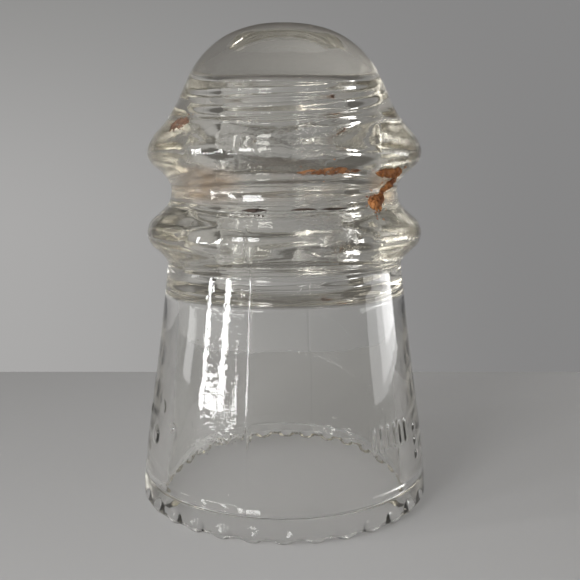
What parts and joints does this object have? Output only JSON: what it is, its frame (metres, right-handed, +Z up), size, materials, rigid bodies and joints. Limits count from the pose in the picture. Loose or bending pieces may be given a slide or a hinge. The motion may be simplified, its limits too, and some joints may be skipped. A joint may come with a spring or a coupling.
{
  "type": "pin insulator",
  "caption": "Bell-shaped clear glass pin insulator: domed crown, two flanges with a wire groove between, long skirt on round drip points, threaded pin hole.",
  "frame": {"origin": "centre of the circle of drip points, on the plane that their tips stand on", "axes": "+Z up the axis of the pin hole, from the skirt's open end to the crown; -Y is the front; +X to the right seen from the front"},
  "size_m": [0.0572, 0.0572, 0.0924],
  "materials": {
    "clear_glass": "clear pressed glass with a faint grey-olive tint, mould seams and small flow marks",
    "rust": "dry flaky orange-brown rust left by a tie wire",
    "wire_residue": "thin dark brown residue along the line where the wire lay",
    "dirt": "thin brown baked-on dirt"
  },
  "bodies": {
    "root": {"glass_body": "clear_glass", "rust_crust_upper": "rust", "rust_crust_middle": "rust", "rust_crust_lower": "rust", "rust_smear_front": "rust", "wire_residue_left": "wire_residue", "wire_residue_centre": "wire_residue", "wire_residue_right": "wire_residue", "dirt_patch_crown": "dirt"}
  },
  "joints": []
}
